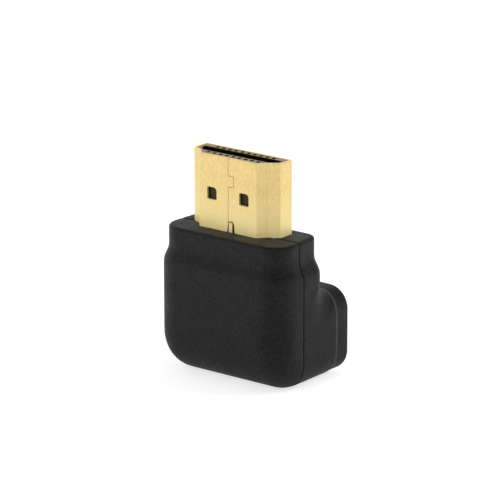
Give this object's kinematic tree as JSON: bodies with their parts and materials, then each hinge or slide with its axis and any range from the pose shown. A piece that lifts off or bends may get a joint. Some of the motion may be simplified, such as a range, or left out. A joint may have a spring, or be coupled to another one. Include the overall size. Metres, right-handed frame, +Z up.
{
  "type": "hdmi adapter",
  "caption": "Right-angle HDMI adapter: gold-plated male plug standing up from a rounded matt black housing, with a female socket facing the rear at its foot.",
  "frame": {"origin": "centre of the overall box at the bottom face that the housing rests on", "axes": "+Z up along the plug, +Y out of the socket's mouth, +X to the right seen from the front"},
  "size_m": [0.0206, 0.0148, 0.0293],
  "materials": {
    "housing_plastic": "matt",
    "gold_plated_shell": "satin",
    "insulator_plastic": "satin",
    "board_laminate": "gloss",
    "nickel_plated_shell": "satin",
    "socket_insulator_plastic": "satin",
    "contact_gold": "satin"
  },
  "bodies": {
    "root": {"front_shell": "housing_plastic", "rear_shell": "housing_plastic", "plug_shell": "gold_plated_shell", "plug_insulator": "insulator_plastic", "circuit_board": "board_laminate", "socket_shell": "nickel_plated_shell", "socket_insulator": "socket_insulator_plastic", "plug_contact_01": "contact_gold", "plug_contact_02": "contact_gold", "plug_contact_03": "contact_gold", "plug_contact_04": "contact_gold", "plug_contact_05": "contact_gold", "plug_contact_06": "contact_gold", "plug_contact_07": "contact_gold", "plug_contact_08": "contact_gold", "plug_contact_09": "contact_gold", "plug_contact_10": "contact_gold", "plug_contact_11": "contact_gold", "plug_contact_12": "contact_gold", "plug_contact_13": "contact_gold", "plug_contact_14": "contact_gold", "plug_contact_15": "contact_gold", "plug_contact_16": "contact_gold", "plug_contact_17": "contact_gold", "plug_contact_18": "contact_gold", "plug_contact_19": "contact_gold", "socket_contact_01": "contact_gold", "socket_contact_02": "contact_gold", "socket_contact_03": "contact_gold", "socket_contact_04": "contact_gold", "socket_contact_05": "contact_gold", "socket_contact_06": "contact_gold", "socket_contact_07": "contact_gold", "socket_contact_08": "contact_gold", "socket_contact_09": "contact_gold", "socket_contact_10": "contact_gold", "socket_contact_11": "contact_gold", "socket_contact_12": "contact_gold", "socket_contact_13": "contact_gold", "socket_contact_14": "contact_gold", "socket_contact_15": "contact_gold", "socket_contact_16": "contact_gold", "socket_contact_17": "contact_gold", "socket_contact_18": "contact_gold", "socket_contact_19": "contact_gold"}
  },
  "joints": []
}
